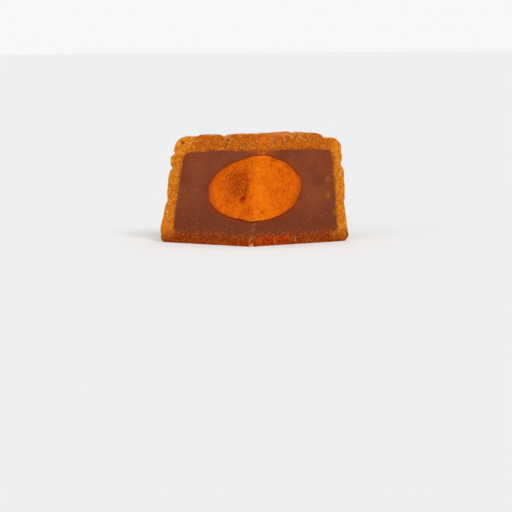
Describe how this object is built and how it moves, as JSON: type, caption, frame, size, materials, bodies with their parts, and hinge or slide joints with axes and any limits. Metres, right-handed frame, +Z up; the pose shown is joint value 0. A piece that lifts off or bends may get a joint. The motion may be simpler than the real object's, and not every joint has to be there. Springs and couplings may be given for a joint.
{
  "type": "cut wedge of single yolk lotus mooncake",
  "caption": "Wedge cut from a round baked mooncake: fluted golden crust, smooth brown lotus paste and a salted egg yolk on the two cut faces; it stands on its flat base.",
  "frame": {"origin": "centre of the bounding box, on the plane of the flat base", "axes": "+Z up from the base; the front edge where the two cut faces meet points to -Y, the fluted outer wall looks to +Y; +X runs to the right seen from the cut side"},
  "size_m": [0.0622, 0.0369, 0.0361],
  "materials": {
    "baked_crust": "baked golden crust, satin with an oily crumb where it is cut",
    "lotus_paste": "dense smooth brown paste with a soft sheen",
    "salted_yolk": "grainy, oily orange yolk"
  },
  "bodies": {
    "root": {"crust": "baked_crust", "lotus_paste": "lotus_paste", "yolk": "salted_yolk"}
  },
  "joints": []
}
